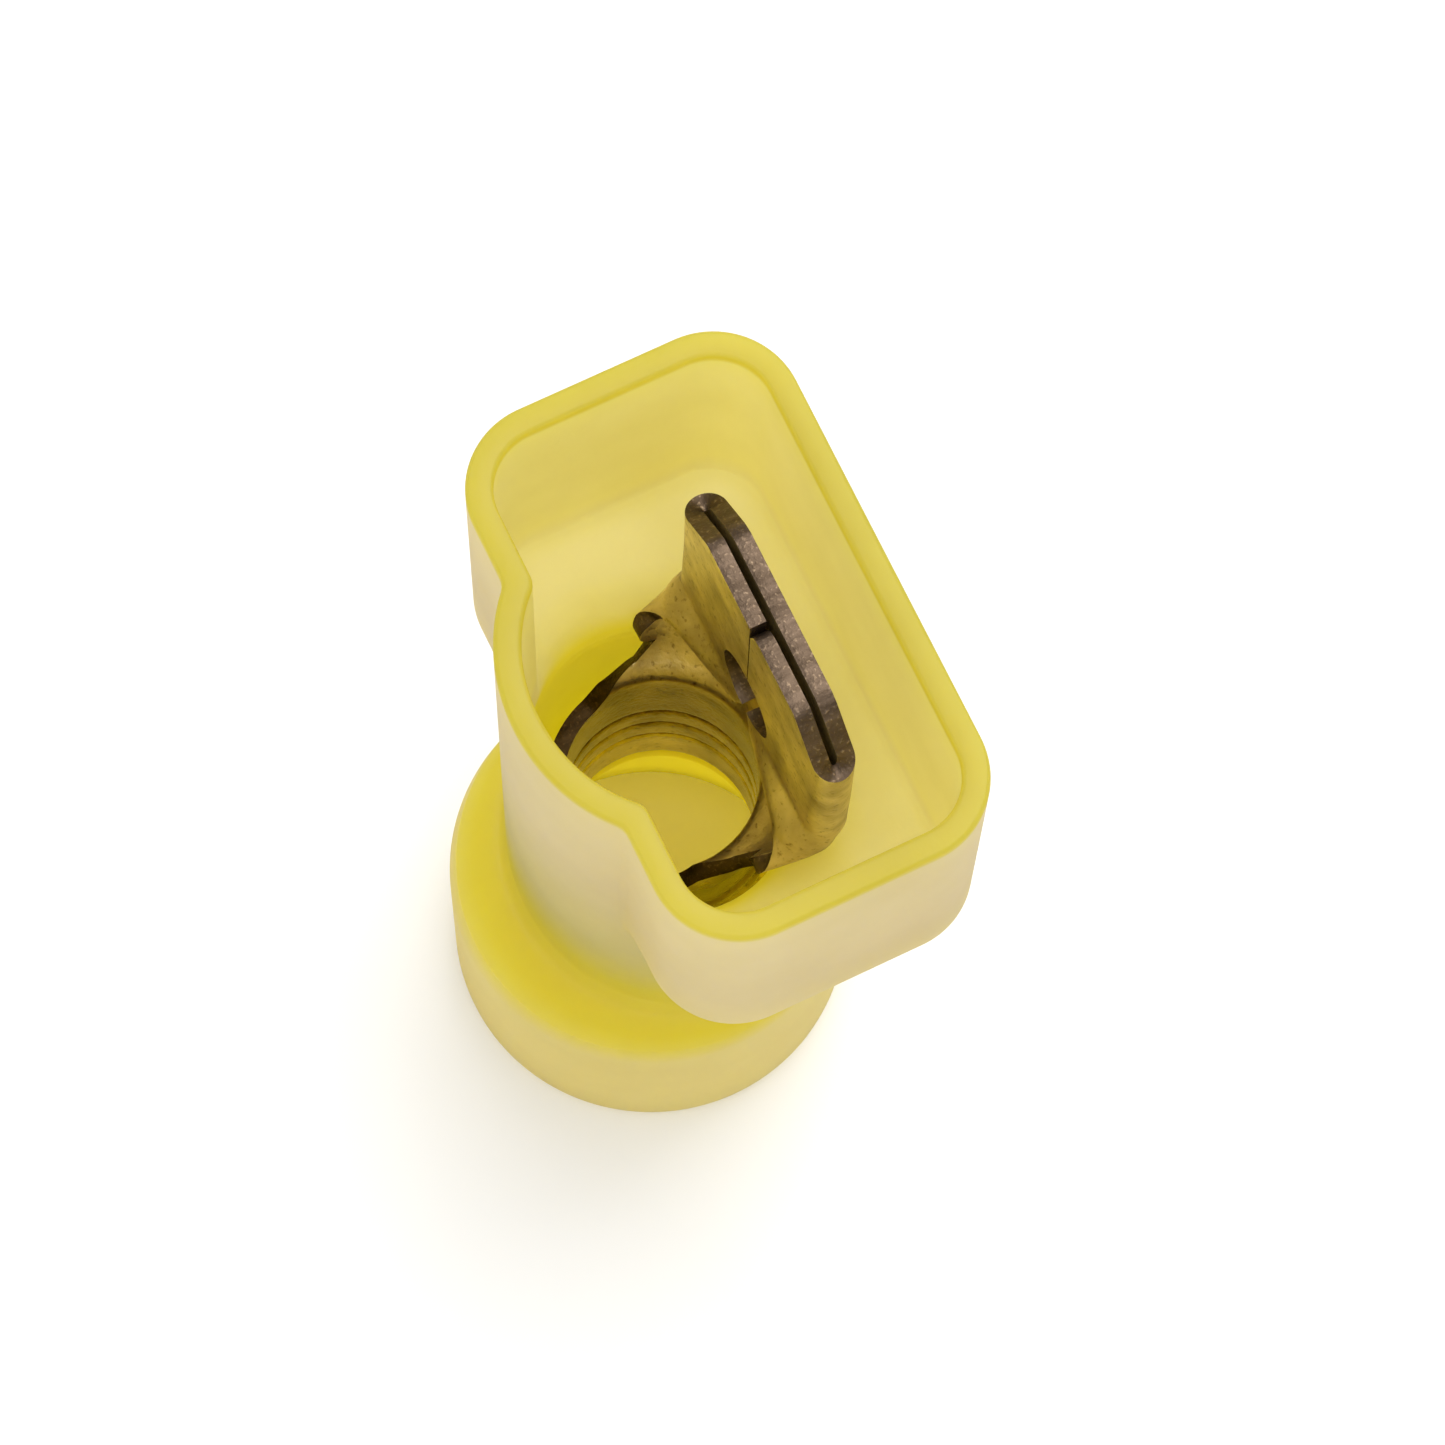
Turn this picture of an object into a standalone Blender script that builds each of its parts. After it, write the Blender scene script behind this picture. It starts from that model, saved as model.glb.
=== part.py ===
"""Insulated male tab terminal: a nylon housing around a stamped brass blade terminal.

Frame: +Z runs along the crimp barrel, from the wire entry (z = 0) to the mouth.  X runs
along the tab's width.  The tab's contact face looks toward +Y and the crimp seam toward
-Y.  The origin is the bottom centre of the whole part's box.  The shapes are worked out
about the barrel's axis, in millimetres, and each object is then placed by its location.
"""
import math

import bmesh
import bpy
import numpy as np

MM = 0.001

# ---- housing: driving dimensions (mm) -------------------------------------------------
TOTAL_LENGTH = 19.2
WALL = 0.54
HOOD_HALF_WIDTH = 5.7
HOOD_FRONT_Y = -2.1
HOOD_BACK_Y = 4.7
HOOD_CORNER = 1.75
NECK_HALF_WIDTH = 3.55
NECK_HALF_DEPTH = 3.14
HOOD_WALL_END = 12.75
NECK_TOP = 11.3
FLOOR_TOP = 12.7
BORE_TOP = 11.9
SHOULDER_TOP = 6.6
SHOULDER_FOOT = 5.3
BELL_RADIUS = 4.25
BELL_SHIFT_Y = -0.2
BELL_EDGE = 0.45
FOOT_STEPS = 3
ENTRY_RADIUS = 3.5
ENTRY_TOP = 4.6
THROAT_RADIUS = 2.05
LEDGE = 6.35
THROAT_END = 5.9
LOFT_CENTRE_Y = 1.0
JUNCTION_BLEND = 0.14
RING_POINTS = 92
OUTLINE_SAMPLES = 1440
BISECTIONS = 40

# Fillets between two outlines: the second outline's share, and the share of the height.
SHOULDER_FILLET = ((0.12, 0.0), (0.5, 0.2), (0.85, 0.5), (1.0, 1.0))
FUNNEL_FILLET = ((1.0, 0.0), (0.72, 0.28), (0.4, 0.46), (0.14, 0.66), (0.0, 1.0))
FLOOR_FILLET = ((0.0, 1.0), (0.12, 0.6), (0.5, 0.3), (0.85, 0.1), (1.0, -0.3))

# ---- terminal: driving dimensions (mm) ------------------------------------------------
SHEET = 0.40
LAYER_GAP = 0.06
TAB_WIDTH = 6.35
TAB_TIP = 18.5
TAB_CHAMFER_WIDTH = 1.3
TAB_CHAMFER_LENGTH = 1.2
TAB_MID_Y = 2.25
FORM_START = 15.9
WING_REAR = 13.0
EAR_TIP = 12.05
NOTCH_FLOOR = 11.7
NOTCH_EDGE = 3.1
EAR_EDGE = 3.3
EAR_WIDTH = 1.0
SCALLOP_WIDTH = 0.75
SEAM_CORNER = 0.45
SEAM_HALF_GAP = 0.04
BARREL_SEAM_HALF_GAP = 0.06
DETENT_RADIUS = 0.95
DETENT_Z = 14.4
DETENT_CUT = 3.0
DETENT_POINTS = 24
BARREL_BORE = 1.96
BARREL_FRONT = 11.0
BARREL_REAR = 6.6
SHORTEST_WING = 0.8
STEEPEST_WING = 0.6
TAB_ROWS = 4
FORM_ROWS = 10
BARREL_ROWS = 5
NOTCH_ROW = TAB_ROWS + FORM_ROWS - 2
SHARP_DEGREES = 35

FOLD_RADIUS = (SHEET + LAYER_GAP) / 2
FLAT_HALF = TAB_WIDTH / 2 - FOLD_RADIUS - SHEET / 2
FOLD_ARC = math.pi * FOLD_RADIUS
BLANK_HALF = 2 * FLAT_HALF + FOLD_ARC - SEAM_HALF_GAP
BARREL_MID = BARREL_BORE + SHEET / 2
BARREL_STRETCH = (math.pi * BARREL_MID - BARREL_SEAM_HALF_GAP) / BLANK_HALF

# How the sheet is bent at each height: half of the flat base, the bend radius, the base's y
# and the blank's stretch.  It is folded flat at the tab, a channel at the ears and round at
# the barrel.
FORMING_STAGES = (
    (FORM_START, FLAT_HALF, FOLD_RADIUS, TAB_MID_Y + FOLD_RADIUS, 1.0),
    (13.7, 2.70, 0.28, 2.50, 1.0),
    (WING_REAR, 2.50, 0.50, 2.44, 1.0),
    (EAR_TIP, 0.90, 1.76, 2.30, 1.0),
    (11.4, 0.0, BARREL_MID, BARREL_MID, BARREL_STRETCH),
)


def barrel_axis_y():
    """Where the barrel's axis lies, so that the origin is midway between hood and bell."""
    return -(HOOD_BACK_Y + BELL_SHIFT_Y - BELL_RADIUS) / 2


def start_scene():
    """Empties the scene and makes the collection of parts and the one of cutters."""
    for thing in list(bpy.data.objects):
        bpy.data.objects.remove(thing, do_unlink=True)
    parts = bpy.data.collections.new("insulated_tab_terminal")
    cutters = bpy.data.collections.new("cutters")
    bpy.context.scene.collection.children.link(parts)
    bpy.context.scene.collection.children.link(cutters)
    return parts, cutters


def make_material(name, colour, metallic, roughness):
    material = bpy.data.materials.new(name)
    material.use_nodes = True
    shader = material.node_tree.nodes["Principled BSDF"]
    shader.inputs["Base Color"].default_value = (*colour, 1.0)
    shader.inputs["Metallic"].default_value = metallic
    shader.inputs["Roughness"].default_value = roughness
    material.diffuse_color = (*colour, 1.0)
    return material


def object_from_mesh(name, bm, collection, material):
    """Makes a smooth-shaded object from a bmesh whose vertices are in millimetres."""
    bmesh.ops.scale(bm, vec=(MM, MM, MM), verts=bm.verts)
    mesh = bpy.data.meshes.new(name)
    bm.to_mesh(mesh)
    bm.free()
    mesh.shade_smooth()
    mesh.set_sharp_from_angle(angle=math.radians(SHARP_DEGREES))
    thing = bpy.data.objects.new(name, mesh)
    thing.location.y = barrel_axis_y() * MM
    collection.objects.link(thing)
    if material:
        mesh.materials.append(material)
    return thing


# ---- housing --------------------------------------------------------------------------
def ray_to_ellipse(angle, half_width, half_depth, centre_y):
    """Distance from the loft's centre to an ellipse, along one direction."""
    dx, dy = math.cos(angle), math.sin(angle)
    oy = LOFT_CENTRE_Y - centre_y
    a = (dx / half_width) ** 2 + (dy / half_depth) ** 2
    b = oy * dy / half_depth ** 2
    c = (oy / half_depth) ** 2 - 1.0
    return (-b + math.sqrt(b * b - a * c)) / a


def rounded_rectangle_gap(x, y, inset):
    """Signed distance from a point to the hood's rounded rectangle."""
    radius = HOOD_CORNER - inset
    half_depth = (HOOD_BACK_Y - HOOD_FRONT_Y) / 2 - inset
    middle = (HOOD_BACK_Y + HOOD_FRONT_Y) / 2
    qx = abs(x) - (HOOD_HALF_WIDTH - inset - radius)
    qy = abs(y - middle) - (half_depth - radius)
    outside = math.hypot(max(qx, 0.0), max(qy, 0.0))
    return outside + min(max(qx, qy), 0.0) - radius


def ray_to_rectangle(angle, inset):
    """Distance from the loft's centre to the rounded rectangle, by bisection."""
    dx, dy = math.cos(angle), math.sin(angle)
    low, high = 0.0, 2 * HOOD_HALF_WIDTH
    for _ in range(BISECTIONS):
        middle = (low + high) / 2
        if rounded_rectangle_gap(dx * middle, LOFT_CENTRE_Y + dy * middle, inset) < 0:
            low = middle
        else:
            high = middle
    return (low + high) / 2


def neck_ray(angle, inset):
    return ray_to_ellipse(angle, NECK_HALF_WIDTH - inset, NECK_HALF_DEPTH - inset, 0.0)


def hood_ray(angle, inset):
    """The mouth's outline: the rectangle joined to the neck's bulge with a small blend."""
    flat = ray_to_rectangle(angle, inset)
    bulge = neck_ray(angle, inset)
    overlap = max(JUNCTION_BLEND - abs(flat - bulge), 0.0) / JUNCTION_BLEND
    return max(flat, bulge) + overlap * overlap * JUNCTION_BLEND / 4


def bell_ray(angle, radius):
    return ray_to_ellipse(angle, radius, radius, BELL_SHIFT_Y)


def throat_ray(angle, radius):
    return ray_to_ellipse(angle, radius, radius, 0.0)


def loft_angles():
    """Directions that fall evenly along the mouth's outline."""
    dense = np.linspace(0.0, 2 * math.pi, OUTLINE_SAMPLES, endpoint=False)
    reach = np.array([hood_ray(a, 0.0) for a in dense])
    points = np.column_stack((reach * np.cos(dense), reach * np.sin(dense)))
    steps = np.linalg.norm(np.roll(points, -1, axis=0) - points, axis=1)
    travelled = np.concatenate(([0.0], np.cumsum(steps)))
    wanted = np.linspace(0.0, travelled[-1], RING_POINTS, endpoint=False)
    return np.interp(wanted, travelled, np.append(dense, 2 * math.pi))


def blended_ring(angles, z, first, second=None, share=0.0):
    """A ring at height z, part way between two outlines, each a (ray, size) pair."""
    ring = []
    for angle in angles:
        reach = first[0](angle, first[1])
        if second:
            reach = (1 - share) * reach + share * second[0](angle, second[1])
        x, y = reach * math.cos(angle), LOFT_CENTRE_Y + reach * math.sin(angle)
        ring.append((x, y, z))
    return ring


def bell_rings(angles):
    """The bell's rounded foot, its side and the hollow shoulder up to the neck."""
    rings = []
    for step in range(FOOT_STEPS + 1):
        turn = step / FOOT_STEPS * math.pi / 2
        radius = BELL_RADIUS - BELL_EDGE * (1 - math.sin(turn))
        rings.append(blended_ring(angles, BELL_EDGE * (1 - math.cos(turn)), (bell_ray, radius)))
    bell, neck = (bell_ray, BELL_RADIUS), (neck_ray, 0.0)
    rings.append(blended_ring(angles, SHOULDER_FOOT - BELL_EDGE, bell))
    for share, rise in SHOULDER_FILLET:
        z = SHOULDER_FOOT + rise * (SHOULDER_TOP - SHOULDER_FOOT)
        rings.append(blended_ring(angles, z, bell, neck, share))
    return rings


def hood_rings(angles):
    """The funnel above the neck, the hood's wall, its rim and the sloped floor inside."""
    outside, neck = (hood_ray, 0.0), (neck_ray, 0.0)
    inside, bore = (hood_ray, WALL), (neck_ray, WALL)
    rings = []
    for share, rise in FUNNEL_FILLET:
        z = NECK_TOP + rise * (HOOD_WALL_END - NECK_TOP)
        rings.append(blended_ring(angles, z, outside, neck, share))
    rings.append(blended_ring(angles, TOTAL_LENGTH, outside))
    rings.append(blended_ring(angles, TOTAL_LENGTH, inside))
    for share, rise in FLOOR_FILLET:
        z = BORE_TOP + rise * (FLOOR_TOP - BORE_TOP)
        rings.append(blended_ring(angles, z, inside, bore, share))
    return rings


def entry_rings(angles):
    """The neck's bore, the ledge behind the barrel, the throat and the wire entry."""
    throat, entry = (throat_ray, THROAT_RADIUS), (bell_ray, ENTRY_RADIUS)
    return [blended_ring(angles, LEDGE, (neck_ray, WALL)),
            blended_ring(angles, LEDGE, throat),
            blended_ring(angles, THROAT_END, throat),
            blended_ring(angles, ENTRY_TOP, entry),
            blended_ring(angles, 0.0, entry)]


def make_housing(parts):
    """The moulded shell: a closed loft whose last ring joins its first."""
    angles = loft_angles()
    rings = bell_rings(angles) + hood_rings(angles) + entry_rings(angles)
    bm = bmesh.new()
    rows = [[bm.verts.new(point) for point in ring] for ring in rings]
    for index, row in enumerate(rows):
        above = rows[(index + 1) % len(rows)]
        for k in range(RING_POINTS):
            n = (k + 1) % RING_POINTS
            bm.faces.new((row[k], row[n], above[n], above[k]))
    nylon = make_material("nylon", (0.72, 0.55, 0.10), 0.0, 0.45)
    return object_from_mesh("nylon_housing", bm, parts, nylon)


# ---- terminal -------------------------------------------------------------------------
def smooth_step(value):
    t = min(max(value, 0.0), 1.0)
    return t * t * (3 - 2 * t)


def forming_at(z):
    """The flat base, bend radius, base y and stretch at one height."""
    if z >= FORMING_STAGES[0][0]:
        return FORMING_STAGES[0][1:]
    for above, below in zip(FORMING_STAGES, FORMING_STAGES[1:]):
        if z >= below[0]:
            share = smooth_step((above[0] - z) / (above[0] - below[0]))
            return tuple(p * (1 - share) + q * share for p, q in zip(above[1:], below[1:]))
    return FORMING_STAGES[-1][1:]


def bend_limit(flat, radius):
    """How far the sheet turns before it runs straight, so that a wing's end lies on the base."""
    lift = 2 * radius - 2 * FOLD_RADIUS
    wing = max(BLANK_HALF - flat - math.pi * radius, SHORTEST_WING)
    return math.pi + math.asin(min(max(lift / wing, 0.0), STEEPEST_WING))


def sheet_point(u, z):
    """A point of the formed sheet's mid surface, u across the blank from the base's middle."""
    flat, radius, base_y, stretch = forming_at(z)
    reach = abs(u) * stretch
    turn = min(max(reach - flat, 0.0) / radius, bend_limit(flat, radius))
    straight = max(reach - flat - turn * radius, 0.0)
    x = min(reach, flat) + radius * math.sin(turn) + straight * math.cos(turn)
    y = base_y - radius * (1 - math.cos(turn)) - straight * math.sin(turn)
    return math.copysign(x, u), y, z


def tip_height(u):
    """The tab's front edge, chamfered toward both folds, with one seam corner rounded."""
    x = abs(sheet_point(u, TAB_TIP)[0])
    start = TAB_WIDTH / 2 - TAB_CHAMFER_WIDTH
    chamfer = TAB_CHAMFER_LENGTH * max(x - start, 0.0) / TAB_CHAMFER_WIDTH
    corner = max(u - BLANK_HALF + SEAM_CORNER, 0.0)
    rounding = SEAM_CORNER - math.sqrt(SEAM_CORNER ** 2 - corner ** 2)
    return TAB_TIP - chamfer - rounding


def wing_rear_height(u):
    """The wings' rear edge, which drops to a pointed ear beside each fold."""
    share = smooth_step((abs(u) - EAR_EDGE) / EAR_WIDTH)
    return EAR_TIP * (1 - share) + WING_REAR * share


def barrel_front_height(u):
    """The barrel's front edge, which climbs toward the ears at both sides."""
    share = smooth_step((abs(u) - NOTCH_EDGE) / SCALLOP_WIDTH)
    return NOTCH_FLOOR * (1 - share) + BARREL_FRONT * share


def blank_columns():
    """Column places across the blank, closer together through the folds and the ears."""
    fold_end = FLAT_HALF + FOLD_ARC
    ear_end = EAR_EDGE + EAR_WIDTH
    spans = ((0.0, FLAT_HALF, 7), (FLAT_HALF, NOTCH_EDGE, 4), (NOTCH_EDGE, fold_end, 5),
             (fold_end, ear_end, 6), (ear_end, BLANK_HALF, 5))
    half = [v for low, high, count in spans for v in np.linspace(low, high, count)[:-1]]
    half.append(BLANK_HALF)
    return [-v for v in reversed(half[1:])] + half


def row_heights(u):
    """Heights down one column: tab, forming stretch, notch and barrel."""
    stretches = ((tip_height(u), FORM_START, TAB_ROWS),
                 (FORM_START, wing_rear_height(u), FORM_ROWS),
                 (barrel_front_height(u), BARREL_REAR, BARREL_ROWS))
    return [z for top, end, count in stretches for z in np.linspace(top, end, count)]


def make_terminal(parts, cutters):
    """The stamping: one sheet, folded double at the tab and rolled into the barrel."""
    columns = blank_columns()
    bm = bmesh.new()
    grid = []
    for u in columns:
        heights = row_heights(u)
        grid.append([bm.verts.new(sheet_point(u, z)) for z in dict.fromkeys(heights)])
    for j in range(len(columns) - 1):
        past_notch = max(abs(columns[j]), abs(columns[j + 1])) > NOTCH_EDGE + 1e-6
        for i in range(len(grid[0]) - 1):
            if not (past_notch and i == NOTCH_ROW):
                bm.faces.new((grid[j][i], grid[j + 1][i], grid[j + 1][i + 1], grid[j][i + 1]))
    brass = make_material("tinned_brass", (0.33, 0.25, 0.11), 0.85, 0.4)
    terminal = object_from_mesh("blade_terminal", bm, parts, brass)
    sheet = terminal.modifiers.new("sheet", "SOLIDIFY")
    sheet.thickness = SHEET * MM
    sheet.offset = 0.0
    hole = terminal.modifiers.new("detent_hole", "BOOLEAN")
    hole.operation = "DIFFERENCE"
    hole.object = make_detent_cutter(cutters)
    return terminal


def make_detent_cutter(cutters):
    """A pin across both layers of the tab."""
    bm = bmesh.new()
    bmesh.ops.create_cone(bm, cap_ends=True, segments=DETENT_POINTS,
                          radius1=DETENT_RADIUS, radius2=DETENT_RADIUS, depth=DETENT_CUT)
    cutter = object_from_mesh("detent_cutter", bm, cutters, None)
    cutter.location = (0.0, (barrel_axis_y() + TAB_MID_Y) * MM, DETENT_Z * MM)
    cutter.rotation_euler = (math.pi / 2, 0.0, 0.0)
    cutter.hide_render = True
    cutter.display_type = "WIRE"
    return cutter


def main():
    parts, cutters = start_scene()
    make_housing(parts)
    make_terminal(parts, cutters)


main()
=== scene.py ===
"""Looks of the insulated male tab terminal: fine nylon housing, brass terminal and studio."""
import math

import bmesh
import bpy
import numpy as np
from mathutils import Matrix, Vector


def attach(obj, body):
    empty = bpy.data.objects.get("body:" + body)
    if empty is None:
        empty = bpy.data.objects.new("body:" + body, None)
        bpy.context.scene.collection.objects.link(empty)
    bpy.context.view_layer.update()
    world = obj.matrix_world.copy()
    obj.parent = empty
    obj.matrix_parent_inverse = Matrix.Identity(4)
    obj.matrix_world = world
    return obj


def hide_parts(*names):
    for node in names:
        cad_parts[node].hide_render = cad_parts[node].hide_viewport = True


MM = 0.001

# ---- the part's own dimensions (mm) ---------------------------------------------------
# They are the CAD's, apart from a thinner sheet with a wider slit between its layers, a
# slightly wider barrel bore, a narrower seam, serrations, and rounded rim and sheet edges.
TOTAL_LENGTH = 19.2
WALL = 0.54
HOOD_HALF_WIDTH = 5.7
HOOD_FRONT_Y = -2.1
HOOD_BACK_Y = 4.7
HOOD_CORNER = 1.75
NECK_HALF_WIDTH = 3.55
NECK_HALF_DEPTH = 3.14
HOOD_WALL_END = 12.75
NECK_TOP = 11.3
FLOOR_TOP = 12.7
BORE_TOP = 11.9
SHOULDER_TOP = 6.6
SHOULDER_FOOT = 5.3
BELL_RADIUS = 4.25
BELL_SHIFT_Y = -0.2
BELL_EDGE = 0.45
ENTRY_RADIUS = 3.5
ENTRY_TOP = 4.6
THROAT_RADIUS = 2.05
LEDGE = 6.35
THROAT_END = 5.9
LOFT_CENTRE_Y = 1.0
JUNCTION_BLEND = 0.14
FUNNEL = ((1.0, 0.0), (0.72, 0.28), (0.4, 0.46), (0.14, 0.66), (0.0, 1.0))
FLOOR = ((0.0, 1.0), (0.12, 0.6), (0.5, 0.3), (0.85, 0.1), (1.0, -0.3))
SHOULDER = ((0.12, 0.0), (0.5, 0.2), (0.85, 0.5), (1.0, 1.0))
RIM_EDGE = 0.10
RING_POINTS = 288
OUTLINE_SAMPLES = 2880
BISECTIONS = 36
BARREL_AXIS_Y = -(HOOD_BACK_Y + BELL_SHIFT_Y - BELL_RADIUS) / 2

SHEET = 0.35
LAYER_GAP = 0.16
TAB_WIDTH = 6.35
TAB_TIP = 18.5
TAB_CHAMFER_WIDTH = 1.3
TAB_CHAMFER_LENGTH = 1.2
TAB_MID_Y = 2.25
FORM_START = 15.9
WING_REAR = 13.0
EAR_TIP = 12.05
NOTCH_FLOOR = 11.7
NOTCH_EDGE = 3.1
EAR_EDGE = 3.3
EAR_WIDTH = 1.0
SCALLOP_WIDTH = 0.75
SEAM_CORNER = 0.45
SEAM_HALF_GAP = 0.02
BARREL_SEAM_HALF_GAP = 0.06
DETENT_RADIUS = 0.95
DETENT_Z = 14.4
BARREL_BORE = 1.97
BARREL_FRONT = 11.0
BARREL_REAR = 6.6
SERRATIONS = (9.3, 8.5, 7.7)
SERRATION_DEPTH = 0.07
SERRATION_HALF_WIDTH = 0.10
SHORTEST_WING = 0.8
STEEPEST_WING = 0.6
EDGE_WEAR = 0.035
DETENT_CUT = 3.0
DETENT_POINTS = 64
TAB_ROWS = 16
FORM_ROWS = 22
BARREL_ROWS = 110
SHARP_DEGREES = 42

FOLD_RADIUS = (SHEET + LAYER_GAP) / 2
FLAT_HALF = TAB_WIDTH / 2 - FOLD_RADIUS - SHEET / 2
FOLD_ARC = math.pi * FOLD_RADIUS
BLANK_HALF = 2 * FLAT_HALF + FOLD_ARC - SEAM_HALF_GAP
BARREL_MID = BARREL_BORE + SHEET / 2
BARREL_STRETCH = (math.pi * BARREL_MID - BARREL_SEAM_HALF_GAP) / BLANK_HALF
FORMING_STAGES = (
    (FORM_START, FLAT_HALF, FOLD_RADIUS, TAB_MID_Y + FOLD_RADIUS, 1.0),
    (13.7, 2.70, 0.28, 2.50, 1.0),
    (WING_REAR, 2.50, 0.50, 2.44, 1.0),
    (EAR_TIP, 0.90, 1.76, 2.30, 1.0),
    (11.4, 0.0, BARREL_MID, BARREL_MID, BARREL_STRETCH),
)

# ---- colours --------------------------------------------------------------------------
# Lit and shaded copies of one yellow nylon, painted by height: pale painted light on the thin hood
# walls and the floor, a painted glow on the shoulder and in the bore, and a darker painted saturation
# at the rim.
NYLON_PALE_PAINTED_LIGHT = (0.855, 0.75, 0.53)
NYLON_NECK_PAINTED_LIGHT = (0.88, 0.78, 0.34)
NYLON_SIDE_PAINTED_LIGHT = (0.97, 0.885, 0.42)
NYLON_STRONG_PAINTED_LIGHT = (0.96, 0.86, 0.09)
NYLON_RIM_PAINTED_LIGHT = (0.73, 0.63, 0.085)
NYLON_WALL_PAINTED_LIGHT = (0.975, 0.91, 0.40)
NYLON_FLOOR_PAINTED_LIGHT = (0.915, 0.85, 0.47)
NYLON_SKIN_PAINTED_LIGHT = ((0.0, NYLON_SIDE_PAINTED_LIGHT), (4.8, NYLON_SIDE_PAINTED_LIGHT), (5.5, NYLON_STRONG_PAINTED_LIGHT), (7.3, NYLON_STRONG_PAINTED_LIGHT),
              (10.0, NYLON_NECK_PAINTED_LIGHT), (14.5, NYLON_PALE_PAINTED_LIGHT), (18.9, NYLON_PALE_PAINTED_LIGHT), (19.08, NYLON_RIM_PAINTED_LIGHT))
NYLON_CORE_PAINTED_LIGHT = ((5.7, NYLON_STRONG_PAINTED_LIGHT), (11.8, NYLON_STRONG_PAINTED_LIGHT), (12.15, NYLON_FLOOR_PAINTED_LIGHT),
              (12.9, NYLON_FLOOR_PAINTED_LIGHT), (13.6, NYLON_WALL_PAINTED_LIGHT), (18.9, NYLON_WALL_PAINTED_LIGHT), (19.08, NYLON_RIM_PAINTED_LIGHT))
NYLON_TRANSLUCENCE = 0.6
# Painted shade on the brass, by height: the sheet darkens most between 9.7 and 11 mm, in the barrel's
# upper part under the wings.
SHEET_PAINTED_SHADE = ((7.2, (0.95, 0.95, 0.95)), (8.3, (0.85, 0.82, 0.70)), (9.7, (0.33, 0.27, 0.14)),
               (11.0, (0.35, 0.29, 0.16)), (11.9, (1.0, 0.95, 0.9)), (14.5, (1.0, 1.0, 1.0)))
# Painted shade on the cut edges: darkened below 11.4 mm on the barrel, brightening to full by 13 mm.
EDGE_PAINTED_SHADE = ((9.0, (0.30, 0.25, 0.14)), (11.4, (0.30, 0.25, 0.14)), (13.0, (1.0, 1.0, 1.0)))
BARREL_GLOSS = (0.26, 0.26, 0.26)
TAB_GLOSS = (0.46, 0.46, 0.46)

# ---- the view and the studio ----------------------------------------------------------
VIEW_AZIMUTH = 61.3
VIEW_ELEVATION = 73.05
VIEW_ROLL = 3.0
VIEW_DISTANCE = 0.120
VIEW_TARGET = (-0.00031, 0.00137, 0.0120)
LENS = 149.5
SENSOR = 36.0
KEY_PLACE = (-0.10, 0.16, 0.45)
KEY_WATTS = 1.3
FILL_PLACE = (0.16, -0.10, 0.46)
FILL_WATTS = 0.5
LIGHT_SIZE = 0.30
LIGHT_TARGET = (0.0, 0.0, 0.01)
SKY_STRENGTH = 0.72
FLOOR_HALF_SIZE = 0.6


# ---- node helpers ---------------------------------------------------------------------
def new_material(name):
    material = bpy.data.materials.new(name)
    material.use_nodes = True
    nodes = material.node_tree.nodes
    return material, nodes, material.node_tree.links, nodes["Principled BSDF"]


def noise(nodes, links, coords, scale, detail=3.0, stretch=(1, 1, 1)):
    """A noise texture in object coordinates, stretched along an axis."""
    mapping = nodes.new("ShaderNodeMapping")
    mapping.inputs["Scale"].default_value = stretch
    links.new(coords, mapping.inputs["Vector"])
    texture = nodes.new("ShaderNodeTexNoise")
    texture.inputs["Scale"].default_value = scale
    texture.inputs["Detail"].default_value = detail
    links.new(mapping.outputs["Vector"], texture.inputs["Vector"])
    return texture.outputs["Fac"]


def ramp(nodes, links, fac, stops):
    node = nodes.new("ShaderNodeValToRGB")
    elements = node.color_ramp.elements
    while len(elements) < len(stops):
        elements.new(0.5)
    for element, (place, colour) in zip(elements, stops):
        element.position = place
        element.color = (*colour, 1.0)
    links.new(fac, node.inputs["Fac"])
    return node.outputs["Color"]


def mix(nodes, links, fac, first, second, blend="MIX"):
    node = nodes.new("ShaderNodeMix")
    node.data_type = "RGBA"
    node.blend_type = blend
    if hasattr(fac, "links"):
        links.new(fac, node.inputs["Factor"])
    else:
        node.inputs["Factor"].default_value = fac
    links.new(first, node.inputs["A"])
    links.new(second, node.inputs["B"])
    return node.outputs["Result"]


def bump(nodes, links, height, distance, strength, base=None):
    node = nodes.new("ShaderNodeBump")
    node.inputs["Distance"].default_value = distance
    node.inputs["Strength"].default_value = strength
    links.new(height, node.inputs["Height"])
    if base:
        links.new(base, node.inputs["Normal"])
    return node.outputs["Normal"]


# ---- materials ------------------------------------------------------------------------
def height_ramp(nodes, links, place, stops):
    """Colours by height on the part, in millimetres above its foot."""
    split = nodes.new("ShaderNodeSeparateXYZ")
    links.new(place, split.inputs["Vector"])
    share = nodes.new("ShaderNodeMath")
    share.operation = "DIVIDE"
    links.new(split.outputs["Z"], share.inputs[0])
    share.inputs[1].default_value = TOTAL_LENGTH * MM
    return ramp(nodes, links, share.outputs["Value"],
                [(z / TOTAL_LENGTH, colour) for z, colour in stops])


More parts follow.
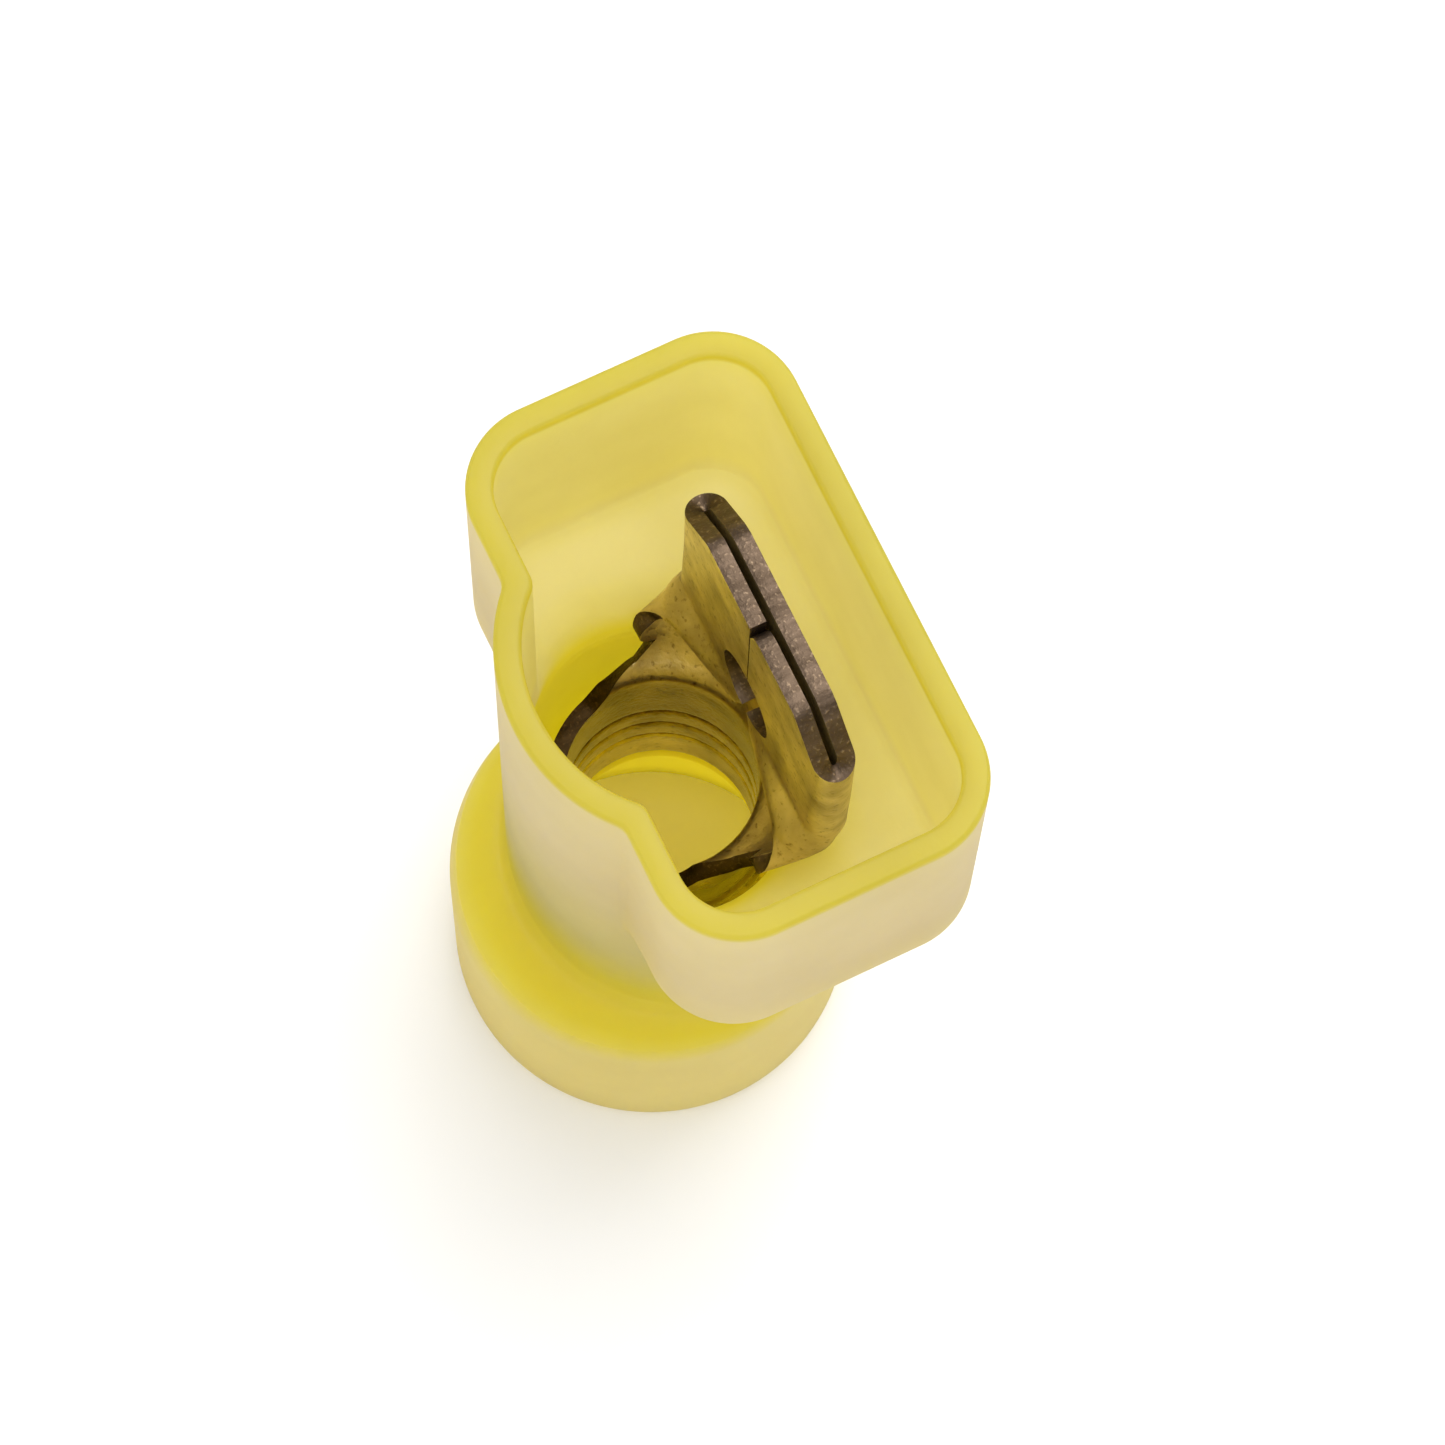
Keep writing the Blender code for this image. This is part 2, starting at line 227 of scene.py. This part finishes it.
def nylon_material(name, stops):
    """Milky yellow nylon with painted light: its colour is painted by height, pale where a wall is
    thin, strong where one looks down its depth.
    """
    material, nodes, links, shader = new_material(name)
    place = nodes.new("ShaderNodeTexCoord").outputs["Object"]
    # Painted light: this ramp paints the nylon's see-through paleness and depth saturation by height.
    depth = height_ramp(nodes, links, place, stops)
    cloud = noise(nodes, links, place, 320.0, 3.0)
    shade = ramp(nodes, links, cloud, ((0.3, (0.93, 0.92, 0.86)), (0.7, (1.0, 1.0, 1.0))))
    colour = mix(nodes, links, 1.0, depth, shade, "MULTIPLY")
    links.new(colour, shader.inputs["Base Color"])
    shader.inputs["Subsurface Weight"].default_value = 1.0
    shader.inputs["Subsurface Radius"].default_value = (1.0, 0.9, 0.5)
    shader.inputs["Subsurface Scale"].default_value = 0.0022
    shader.inputs["Roughness"].default_value = 0.36
    shader.inputs["IOR"].default_value = 1.53
    grain = noise(nodes, links, place, 5200.0, 4.0)
    flow = noise(nodes, links, place, 900.0, 2.0, (1.0, 1.0, 0.12))
    normal = bump(nodes, links, grain, 0.00002, 0.35)
    normal = bump(nodes, links, flow, 0.00004, 0.3, normal)
    links.new(normal, shader.inputs["Normal"])
    glow = nodes.new("ShaderNodeBsdfTranslucent")
    links.new(colour, glow.inputs["Color"])
    links.new(normal, glow.inputs["Normal"])
    both = nodes.new("ShaderNodeMixShader")
    both.inputs["Fac"].default_value = NYLON_TRANSLUCENCE
    links.new(shader.outputs["BSDF"], both.inputs[1])
    links.new(glow.outputs["BSDF"], both.inputs[2])
    links.new(both.outputs["Shader"], nodes["Material Output"].inputs["Surface"])
    return material


def sheet_material():
    """Dull plated brass: olive, mottled, with fine dark pits and rolling marks, and painted shade that
    darkens the barrel's upper part.
    """
    material, nodes, links, shader = new_material("tinned_brass")
    coords = nodes.new("ShaderNodeTexCoord").outputs["Object"]
    mottle = noise(nodes, links, coords, 900.0, 6.0)
    fine = noise(nodes, links, coords, 8000.0, 4.0)
    base = ramp(nodes, links, mottle, ((0.30, (0.28, 0.21, 0.09)), (0.70, (0.74, 0.61, 0.31))))
    speck = ramp(nodes, links, fine, ((0.27, (0.30, 0.25, 0.20)), (0.42, (1.0, 1.0, 1.0))))
    pitted = mix(nodes, links, 0.8, base, speck, "MULTIPLY")
    # Painted shade: darkens the barrel's upper part by height.
    painted_shade = height_ramp(nodes, links, coords, SHEET_PAINTED_SHADE)
    links.new(mix(nodes, links, 1.0, pitted, painted_shade, "MULTIPLY"), shader.inputs["Base Color"])
    shader.inputs["Metallic"].default_value = 0.9
    patchy = ramp(nodes, links, mottle, ((0.3, (1.0, 1.0, 1.0)), (0.7, (0.72, 0.72, 0.72))))
    worn = height_ramp(nodes, links, coords, ((10.2, BARREL_GLOSS), (12.0, TAB_GLOSS)))
    rough = mix(nodes, links, 1.0, worn, patchy, "MULTIPLY")
    links.new(rough, shader.inputs["Roughness"])
    lines = noise(nodes, links, coords, 2600.0, 3.0, (1.0, 1.0, 0.08))
    normal = bump(nodes, links, fine, 0.00003, 0.5)
    links.new(bump(nodes, links, lines, 0.00002, 0.4, normal), shader.inputs["Normal"])
    return material


def cut_edge_material():
    """The sheared edges of the sheet: dark purple brown with striations and bright chips, and painted
    shade that darkens the barrel's edges.
    """
    material, nodes, links, shader = new_material("cut_edge")
    coords = nodes.new("ShaderNodeTexCoord").outputs["Object"]
    grain = noise(nodes, links, coords, 12000.0, 4.0)
    stria = noise(nodes, links, coords, 5200.0, 4.0, (1.0, 0.15, 0.4))
    base = ramp(nodes, links, stria, ((0.35, (0.085, 0.058, 0.038)), (0.65, (0.15, 0.105, 0.072))))
    chips = ramp(nodes, links, grain, ((0.56, (0.0, 0.0, 0.0)), (0.74, (0.22, 0.16, 0.10))))
    chipped = mix(nodes, links, 0.8, base, chips, "ADD")
    # Painted shade: darkens the barrel's cut edges by height.
    painted_shade = height_ramp(nodes, links, coords, EDGE_PAINTED_SHADE)
    links.new(mix(nodes, links, 1.0, chipped, painted_shade, "MULTIPLY"), shader.inputs["Base Color"])
    shader.inputs["Metallic"].default_value = 1.0
    shader.inputs["Roughness"].default_value = 0.48
    normal = bump(nodes, links, stria, 0.00002, 0.5)
    links.new(bump(nodes, links, grain, 0.00003, 0.6, normal), shader.inputs["Normal"])
    return material


def floor_material():
    material, nodes, links, shader = new_material("floor")
    coords = nodes.new("ShaderNodeTexCoord").outputs["Object"]
    cloud = noise(nodes, links, coords, 12.0)
    links.new(ramp(nodes, links, cloud, ((0.3, (0.96, 0.96, 0.96)), (0.7, (0.98, 0.98, 0.98)))),
              shader.inputs["Base Color"])
    shader.inputs["Roughness"].default_value = 0.9
    return material


# ---- housing --------------------------------------------------------------------------


def ray_to_ellipse(angle, half_width, half_depth, centre_y):
    """Distance from the loft's centre to an ellipse, along one direction."""
    dx, dy = math.cos(angle), math.sin(angle)
    oy = LOFT_CENTRE_Y - centre_y
    a = (dx / half_width) ** 2 + (dy / half_depth) ** 2
    b = oy * dy / half_depth ** 2
    c = (oy / half_depth) ** 2 - 1.0
    return (-b + math.sqrt(b * b - a * c)) / a


def rounded_rectangle_gap(x, y, inset):
    """Signed distance from a point to the hood's rounded rectangle."""
    radius = HOOD_CORNER - inset
    half_depth = (HOOD_BACK_Y - HOOD_FRONT_Y) / 2 - inset
    middle = (HOOD_BACK_Y + HOOD_FRONT_Y) / 2
    qx = abs(x) - (HOOD_HALF_WIDTH - inset - radius)
    qy = abs(y - middle) - (half_depth - radius)
    outside = math.hypot(max(qx, 0.0), max(qy, 0.0))
    return outside + min(max(qx, qy), 0.0) - radius


def ray_to_rectangle(angle, inset):
    """Distance from the loft's centre to the rounded rectangle, by bisection."""
    dx, dy = math.cos(angle), math.sin(angle)
    low, high = 0.0, 2 * HOOD_HALF_WIDTH
    for _ in range(BISECTIONS):
        middle = (low + high) / 2
        if rounded_rectangle_gap(dx * middle, LOFT_CENTRE_Y + dy * middle, inset) < 0:
            low = middle
        else:
            high = middle
    return (low + high) / 2


def neck_ray(angle, inset):
    return ray_to_ellipse(angle, NECK_HALF_WIDTH - inset, NECK_HALF_DEPTH - inset, 0.0)


def hood_ray(angle, inset):
    """The mouth's outline: the rectangle joined to the neck's bulge with a small blend."""
    flat = ray_to_rectangle(angle, inset)
    bulge = neck_ray(angle, inset)
    overlap = max(JUNCTION_BLEND - abs(flat - bulge), 0.0) / JUNCTION_BLEND
    return max(flat, bulge) + overlap * overlap * JUNCTION_BLEND / 4


def bell_ray(angle, radius):
    return ray_to_ellipse(angle, radius, radius, BELL_SHIFT_Y)


def throat_ray(angle, radius):
    return ray_to_ellipse(angle, radius, radius, 0.0)


def loft_angles():
    """Directions that fall evenly along the mouth's outline."""
    dense = np.linspace(0.0, 2 * math.pi, OUTLINE_SAMPLES, endpoint=False)
    reach = np.array([hood_ray(a, 0.0) for a in dense])
    points = np.column_stack((reach * np.cos(dense), reach * np.sin(dense)))
    steps = np.linalg.norm(np.roll(points, -1, axis=0) - points, axis=1)
    travelled = np.concatenate(([0.0], np.cumsum(steps)))
    wanted = np.linspace(0.0, travelled[-1], RING_POINTS, endpoint=False)
    return np.interp(wanted, travelled, np.append(dense, 2 * math.pi))


class Loft:
    """Stacks rings whose outlines are blends of the part's outlines."""

    def __init__(self, angles):
        self.angles = angles
        self.known = {}
        self.rings = []
        self.inside_from = 0

    def reach(self, outline):
        if outline not in self.known:
            ray, size = outline
            self.known[outline] = np.array([ray(a, size) for a in self.angles])
        return self.known[outline]

    def ring(self, z, first, second=None, share=0.0, grow=0.0):
        reach = self.reach(first)
        if second:
            reach = (1 - share) * reach + share * self.reach(second)
        reach = reach + grow
        x = reach * np.cos(self.angles)
        y = LOFT_CENTRE_Y + BARREL_AXIS_Y + reach * np.sin(self.angles)
        self.rings.append(np.column_stack((x, y, np.full(len(x), z))) * MM)

    def span(self, low, high, outline, count):
        """Rings along a straight wall, both ends included."""
        for z in np.linspace(low, high, count):
            self.ring(z, outline)


def curve_through(points, per_span=6):
    """A smooth curve through (share, rise) stations, so that fillets are round."""
    points = [points[0]] + list(points) + [points[-1]]
    out = []
    for p0, p1, p2, p3 in zip(points, points[1:], points[2:], points[3:]):
        for k in range(per_span):
            t = k / per_span
            out.append(tuple(
                0.5 * (2 * b + (c - a) * t + (2 * a - 5 * b + 4 * c - d) * t * t
                       + (3 * b - a - 3 * c + d) * t ** 3)
                for a, b, c, d in zip(p0, p1, p2, p3)))
    return out + [points[-1]]


def housing_loft(loft):
    bell, neck, hood = (bell_ray, BELL_RADIUS), (neck_ray, 0.0), (hood_ray, 0.0)
    inside, bore = (hood_ray, WALL), (neck_ray, WALL)
    throat, entry = (throat_ray, THROAT_RADIUS), (bell_ray, ENTRY_RADIUS)
    for turn in np.linspace(0.0, math.pi / 2, 9):
        shrink = BELL_EDGE * (1 - math.sin(turn))
        loft.ring(BELL_EDGE * (1 - math.cos(turn)), bell, grow=-shrink)
    loft.span(BELL_EDGE + 0.3, SHOULDER_FOOT - BELL_EDGE, bell, 8)
    for share, rise in curve_through(SHOULDER):
        z = SHOULDER_FOOT + rise * (SHOULDER_TOP - SHOULDER_FOOT)
        loft.ring(z, bell, neck, share)
    loft.span(SHOULDER_TOP + 0.3, NECK_TOP - 0.2, neck, 8)
    for share, rise in curve_through(FUNNEL):
        loft.ring(NECK_TOP + rise * (HOOD_WALL_END - NECK_TOP), hood, neck, share)
    loft.span(HOOD_WALL_END + 0.3, TOTAL_LENGTH - RIM_EDGE - 0.2, hood, 10)
    for turn in np.linspace(0.0, math.pi / 2, 5):
        z = TOTAL_LENGTH - RIM_EDGE * (1 - math.sin(turn))
        loft.ring(z, hood, grow=-RIM_EDGE * (1 - math.cos(turn)))
    loft.inside_from = len(loft.rings)
    for turn in np.linspace(math.pi / 2, 0.0, 5):
        z = TOTAL_LENGTH - RIM_EDGE * (1 - math.sin(turn))
        loft.ring(z, inside, grow=RIM_EDGE * (1 - math.cos(turn)))
    loft.span(TOTAL_LENGTH - RIM_EDGE - 0.2, FLOOR_TOP + 0.3, inside, 10)
    for share, rise in curve_through(FLOOR):
        loft.ring(BORE_TOP + rise * (FLOOR_TOP - BORE_TOP), inside, bore, share)
    loft.span(BORE_TOP - 0.6, LEDGE + 0.1, bore, 6)
    loft.ring(LEDGE, bore)
    loft.ring(LEDGE, bore, throat, 0.5)
    loft.ring(LEDGE, throat)
    loft.ring(THROAT_END, throat)
    for share in np.linspace(0.1, 1.0, 6):
        loft.ring(THROAT_END + share * (ENTRY_TOP - THROAT_END), throat, entry, share)
    loft.span(ENTRY_TOP - 0.3, 0.1, entry, 8)
    loft.ring(0.0, entry, grow=0.1)


def make_housing():
    """The moulding: one closed surface, outside and inside joined at the rim and the foot."""
    loft = Loft(loft_angles())
    housing_loft(loft)
    bm = bmesh.new()
    rows = [[bm.verts.new(p) for p in ring] for ring in loft.rings]
    for index, (row, above) in enumerate(zip(rows, rows[1:] + rows[:1])):
        for k in range(len(row)):
            n = (k + 1) % len(row)
            face = bm.faces.new((row[k], row[n], above[n], above[k]))
            face.material_index = index >= loft.inside_from
    # Both nylon materials carry painted light, ramped by height.
    skin, core = nylon_material("nylon", NYLON_SKIN_PAINTED_LIGHT), nylon_material("nylon_inside", NYLON_CORE_PAINTED_LIGHT)
    return finish_mesh("housing_shell", bm, [skin, core], SHARP_DEGREES)


def finish_mesh(name, bm, materials, sharp_degrees):
    mesh = bpy.data.meshes.new(name)
    bm.to_mesh(mesh)
    bm.free()
    mesh.shade_smooth()
    mesh.set_sharp_from_angle(angle=math.radians(sharp_degrees))
    for material in materials:
        mesh.materials.append(material)
    thing = bpy.data.objects.new(name, mesh)
    bpy.context.scene.collection.objects.link(thing)
    return thing


# ---- terminal -------------------------------------------------------------------------
def smooth_step(value):
    t = min(max(value, 0.0), 1.0)
    return t * t * (3 - 2 * t)


def forming_at(z):
    """The flat base, bend radius, base y and stretch at one height."""
    if z >= FORMING_STAGES[0][0]:
        return FORMING_STAGES[0][1:]
    for above, below in zip(FORMING_STAGES, FORMING_STAGES[1:]):
        if z >= below[0]:
            share = smooth_step((above[0] - z) / (above[0] - below[0]))
            return tuple(p * (1 - share) + q * share for p, q in zip(above[1:], below[1:]))
    return FORMING_STAGES[-1][1:]


def bend_limit(flat, radius):
    """How far the sheet turns before it runs straight, so that a wing's end lies on the base."""
    lift = 2 * radius - 2 * FOLD_RADIUS
    wing = max(BLANK_HALF - flat - math.pi * radius, SHORTEST_WING)
    return math.pi + math.asin(min(max(lift / wing, 0.0), STEEPEST_WING))


def serration(z):
    """How far the barrel's wall is pressed outward by its inner grooves."""
    depth = 0.0
    for groove in SERRATIONS:
        depth += SERRATION_DEPTH * math.exp(-((z - groove) / SERRATION_HALF_WIDTH) ** 2)
    return depth


def sheet_point(u, z):
    """A point of the formed sheet's mid surface, u across the blank from the base's middle."""
    flat, radius, base_y, stretch = forming_at(z)
    reach = abs(u) * stretch
    turn = min(max(reach - flat, 0.0) / radius, bend_limit(flat, radius))
    straight = max(reach - flat - turn * radius, 0.0)
    x = min(reach, flat) + radius * math.sin(turn) + straight * math.cos(turn)
    y = base_y - radius * (1 - math.cos(turn)) - straight * math.sin(turn)
    groove = 1.0 + serration(z) / BARREL_MID
    return math.copysign(x, u) * groove, y * groove + BARREL_AXIS_Y, z


def tip_height(u):
    """The tab's front edge, chamfered toward both folds, with one seam corner rounded."""
    x = abs(sheet_point(u, TAB_TIP)[0])
    start = TAB_WIDTH / 2 - TAB_CHAMFER_WIDTH
    chamfer = TAB_CHAMFER_LENGTH * max(x - start, 0.0) / TAB_CHAMFER_WIDTH
    corner = max(u - BLANK_HALF + SEAM_CORNER, 0.0)
    rounding = SEAM_CORNER - math.sqrt(SEAM_CORNER ** 2 - corner ** 2)
    return TAB_TIP - chamfer - rounding


def wing_rear_height(u):
    """The wings' rear edge, which drops to a pointed ear beside each fold."""
    share = smooth_step((abs(u) - EAR_EDGE) / EAR_WIDTH)
    return EAR_TIP * (1 - share) + WING_REAR * share


def barrel_front_height(u):
    """The barrel's front edge, which climbs toward the ears at both sides."""
    share = smooth_step((abs(u) - NOTCH_EDGE) / SCALLOP_WIDTH)
    return NOTCH_FLOOR * (1 - share) + BARREL_FRONT * share


def blank_columns():
    """Column places across the blank, closer together through the folds and the ears."""
    fold_end = FLAT_HALF + FOLD_ARC
    ear_end = EAR_EDGE + EAR_WIDTH
    spans = ((0.0, FLAT_HALF, 12), (FLAT_HALF, NOTCH_EDGE, 10), (NOTCH_EDGE, fold_end, 14),
             (fold_end, ear_end, 14), (ear_end, BLANK_HALF, 16))
    half = [v for low, high, count in spans for v in np.linspace(low, high, count)[:-1]]
    half.append(BLANK_HALF)
    return [-v for v in reversed(half[1:])] + half


def row_heights(u):
    """Heights down one column: tab, forming stretch, notch and barrel."""
    tab = np.linspace(tip_height(u), FORM_START, TAB_ROWS)
    form = np.linspace(FORM_START, wing_rear_height(u), FORM_ROWS)[1:]
    barrel = np.linspace(barrel_front_height(u), BARREL_REAR, BARREL_ROWS)
    return [*tab, *form, *barrel]


def make_terminal():
    """The stamping: one sheet, folded double at the tab and rolled into the barrel."""
    columns = blank_columns()
    bm = bmesh.new()
    grid = []
    for u in columns:
        points = [Vector(sheet_point(u, z)) * MM for z in row_heights(u)]
        grid.append([bm.verts.new(p) for p in points])
    notch_row = TAB_ROWS + FORM_ROWS - 2
    for j in range(len(columns) - 1):
        past_notch = max(abs(columns[j]), abs(columns[j + 1])) > NOTCH_EDGE + 1e-6
        for i in range(len(grid[0]) - 1):
            if not (past_notch and i == notch_row):
                bm.faces.new((grid[j][i], grid[j + 1][i], grid[j + 1][i + 1], grid[j][i + 1]))
    terminal = finish_mesh("terminal_sheet", bm, [sheet_material(), cut_edge_material()], SHARP_DEGREES)
    sheet = terminal.modifiers.new("sheet", "SOLIDIFY")
    sheet.thickness = SHEET * MM
    sheet.offset = 0.0
    sheet.material_offset_rim = 1
    hole = terminal.modifiers.new("detent_hole", "BOOLEAN")
    hole.operation = "DIFFERENCE"
    hole.object = make_detent_cutter(terminal.data.materials[1])
    bevel = terminal.modifiers.new("worn_edges", "BEVEL")
    bevel.width = EDGE_WEAR * MM
    bevel.segments = 2
    bevel.limit_method = "ANGLE"
    bevel.angle_limit = math.radians(50)
    apply_modifiers(terminal)
    bpy.data.objects.remove(bpy.data.objects["detent_cutter"], do_unlink=True)
    return terminal


def make_detent_cutter(material):
    bm = bmesh.new()
    bmesh.ops.create_cone(bm, cap_ends=True, segments=DETENT_POINTS,
                          radius1=DETENT_RADIUS * MM, radius2=DETENT_RADIUS * MM,
                          depth=DETENT_CUT * MM)
    cutter = finish_mesh("detent_cutter", bm, [material], SHARP_DEGREES)
    cutter.location = (0.0, (BARREL_AXIS_Y + TAB_MID_Y) * MM, DETENT_Z * MM)
    cutter.rotation_euler = (math.pi / 2, 0.0, 0.0)
    return cutter


def apply_modifiers(thing):
    """Bakes a piece's modifiers into its mesh."""
    graph = bpy.context.evaluated_depsgraph_get()
    mesh = bpy.data.meshes.new_from_object(thing.evaluated_get(graph))
    thing.modifiers.clear()
    thing.data = mesh
    mesh.shade_smooth()
    mesh.set_sharp_from_angle(angle=math.radians(40))


# ---- studio ---------------------------------------------------------------------------
def make_floor():
    bm = bmesh.new()
    bmesh.ops.create_grid(bm, x_segments=1, y_segments=1, size=FLOOR_HALF_SIZE)
    floor = finish_mesh("floor", bm, [floor_material()], 30)


def add_area(name, place, energy):
    data = bpy.data.lights.new(name, "AREA")
    data.energy = energy
    data.size = LIGHT_SIZE
    lamp = bpy.data.objects.new(name, data)
    lamp.location = place
    lamp.rotation_euler = (Vector(LIGHT_TARGET) - Vector(place)).to_track_quat("-Z", "Y").to_euler()
    bpy.context.scene.collection.objects.link(lamp)


def make_lights():
    add_area("key", KEY_PLACE, KEY_WATTS)
    add_area("fill", FILL_PLACE, FILL_WATTS)
    world = bpy.data.worlds.new("studio")
    world.use_nodes = True
    background = world.node_tree.nodes["Background"]
    background.inputs["Color"].default_value = (1.0, 1.0, 1.0, 1.0)
    background.inputs["Strength"].default_value = SKY_STRENGTH
    bpy.context.scene.world = world
    bpy.context.scene.view_settings.view_transform = "Standard"


def make_camera():
    """The viewpoint: high above the part's near corner, looking into the mouth."""
    azimuth, elevation = math.radians(VIEW_AZIMUTH), math.radians(VIEW_ELEVATION)
    away = Vector((math.sin(azimuth) * math.cos(elevation),
                   -math.cos(azimuth) * math.cos(elevation), math.sin(elevation)))
    data = bpy.data.cameras.new("camera")
    data.lens = LENS
    data.sensor_width = SENSOR
    data.clip_start = 0.001
    camera = bpy.data.objects.new("camera", data)
    camera.location = Vector(VIEW_TARGET) + away * VIEW_DISTANCE
    aim = (-away).to_track_quat("-Z", "Y").to_matrix()
    roll = aim @ Vector((0.0, 0.0, 1.0))
    turn = Matrix.Rotation(math.radians(VIEW_ROLL), 3, roll)
    camera.rotation_euler = (turn @ aim).to_euler()
    bpy.context.scene.collection.objects.link(camera)
    bpy.context.scene.camera = camera


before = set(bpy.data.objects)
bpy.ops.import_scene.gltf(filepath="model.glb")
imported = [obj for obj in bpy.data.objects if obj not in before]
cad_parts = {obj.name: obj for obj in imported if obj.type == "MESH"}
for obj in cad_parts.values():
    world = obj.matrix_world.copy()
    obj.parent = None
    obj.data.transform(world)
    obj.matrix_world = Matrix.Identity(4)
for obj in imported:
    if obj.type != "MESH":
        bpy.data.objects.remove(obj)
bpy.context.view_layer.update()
housing = make_housing()
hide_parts("nylon_housing")
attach(housing, "root")
terminal = make_terminal()
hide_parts("blade_terminal")
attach(terminal, "root")
make_floor()
make_lights()
make_camera()
